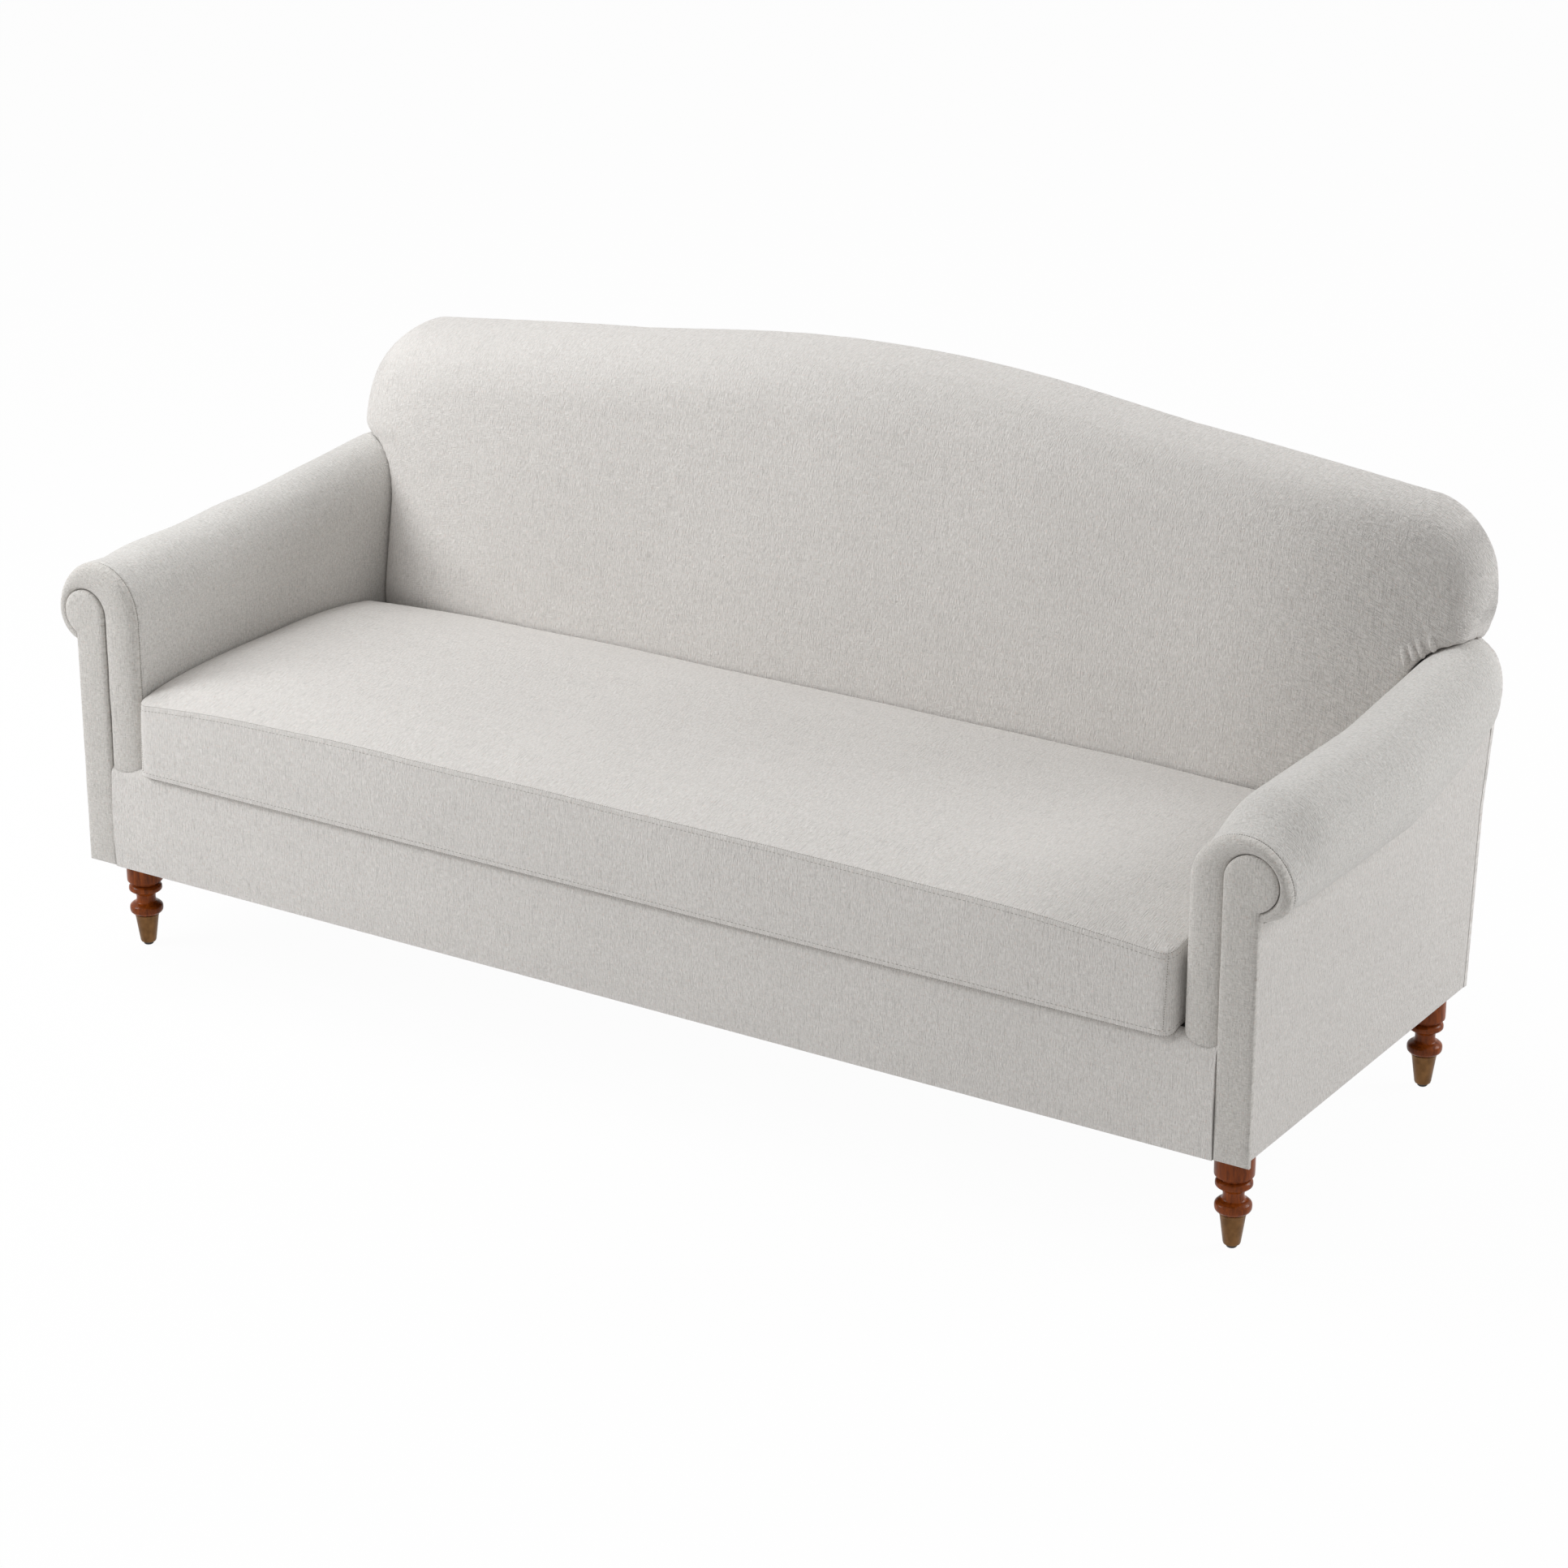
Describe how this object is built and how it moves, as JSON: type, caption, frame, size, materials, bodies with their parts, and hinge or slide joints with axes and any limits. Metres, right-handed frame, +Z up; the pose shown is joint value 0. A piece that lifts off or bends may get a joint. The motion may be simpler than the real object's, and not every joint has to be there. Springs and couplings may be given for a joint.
{
  "type": "camelback sofa",
  "caption": "Three-seat camelback sofa with rolled arms, a humped tight back whose ends sit over the arms, one loose bench cushion and turned legs.",
  "frame": {"origin": "on the floor at the middle of the sofa's box, under the seat", "axes": "+X to the right as seen from the front, along the width; +Y from the front to the back; +Z up"},
  "size_m": [2.116, 0.8376, 0.948],
  "materials": {
    "upholstery": "pale warm grey chenille with a fine vertical slub weave, matt",
    "deck_cloth": "dark plain-woven deck cloth, matt",
    "dust_cloth": "thin black non-woven cloth, matt",
    "foam": "open-cell seat foam",
    "zip": "moulded zip tape, matt",
    "frame_hardwood": "sawn pale hardwood, unfinished",
    "leg_wood": "turned hardwood, warm orange-brown stain, gloss lacquer",
    "ferrule_bronze": "aged satin metal",
    "glide": "dark moulded glide",
    "spring_steel": "bare drawn wire"
  },
  "bodies": {
    "frame": {"front_seat_rail": "frame_hardwood", "rear_seat_rail": "frame_hardwood", "right_side_rail": "frame_hardwood", "left_side_rail": "frame_hardwood", "right_seat_stretcher": "frame_hardwood", "left_seat_stretcher": "frame_hardwood", "right_front_corner_block": "frame_hardwood", "left_front_corner_block": "frame_hardwood", "right_rear_corner_block": "frame_hardwood", "left_rear_corner_block": "frame_hardwood", "right_arm_front_post": "frame_hardwood", "left_arm_front_post": "frame_hardwood", "right_arm_top_rail": "frame_hardwood", "left_arm_top_rail": "frame_hardwood", "right_arm_tack_rail": "frame_hardwood", "left_arm_tack_rail": "frame_hardwood", "right_back_post": "frame_hardwood", "left_back_post": "frame_hardwood", "back_top_rail": "frame_hardwood", "back_tack_rail": "frame_hardwood", "back_upright": "frame_hardwood", "seat_spring_1": "spring_steel", "seat_spring_2": "spring_steel", "seat_spring_3": "spring_steel", "seat_spring_4": "spring_steel", "seat_spring_5": "spring_steel", "seat_spring_6": "spring_steel", "seat_spring_7": "spring_steel", "deck_pad": "deck_cloth", "dust_cover": "dust_cloth", "front_rail_cover": "upholstery", "right_arm_pad": "upholstery", "left_arm_pad": "upholstery", "right_arm_front_band": "upholstery", "left_arm_front_band": "upholstery", "right_arm_facing": "upholstery", "left_arm_facing": "upholstery", "right_outside_arm_panel": "upholstery", "left_outside_arm_panel": "upholstery", "back_pad": "upholstery", "outside_back_panel": "upholstery", "front_right_leg": "leg_wood", "front_right_ferrule": "ferrule_bronze", "front_right_glide": "glide", "front_right_hanger_bolt": "spring_steel", "front_left_leg": "leg_wood", "front_left_ferrule": "ferrule_bronze", "front_left_glide": "glide", "front_left_hanger_bolt": "spring_steel", "rear_right_leg": "leg_wood", "rear_right_ferrule": "ferrule_bronze", "rear_right_glide": "glide", "rear_right_hanger_bolt": "spring_steel", "rear_left_leg": "leg_wood", "rear_left_ferrule": "ferrule_bronze", "rear_left_glide": "glide", "rear_left_hanger_bolt": "spring_steel"},
    "seat_cushion": {"seat_cushion_cover": "upholstery", "seat_cushion_core": "foam", "seat_cushion_zip": "zip"}
  },
  "joints": [
    {"name": "seat_cushion_lift", "type": "slide", "parent": "frame", "child": "seat_cushion", "axis": [0, 0, 1], "range_m": [0, 0.3]}
  ]
}
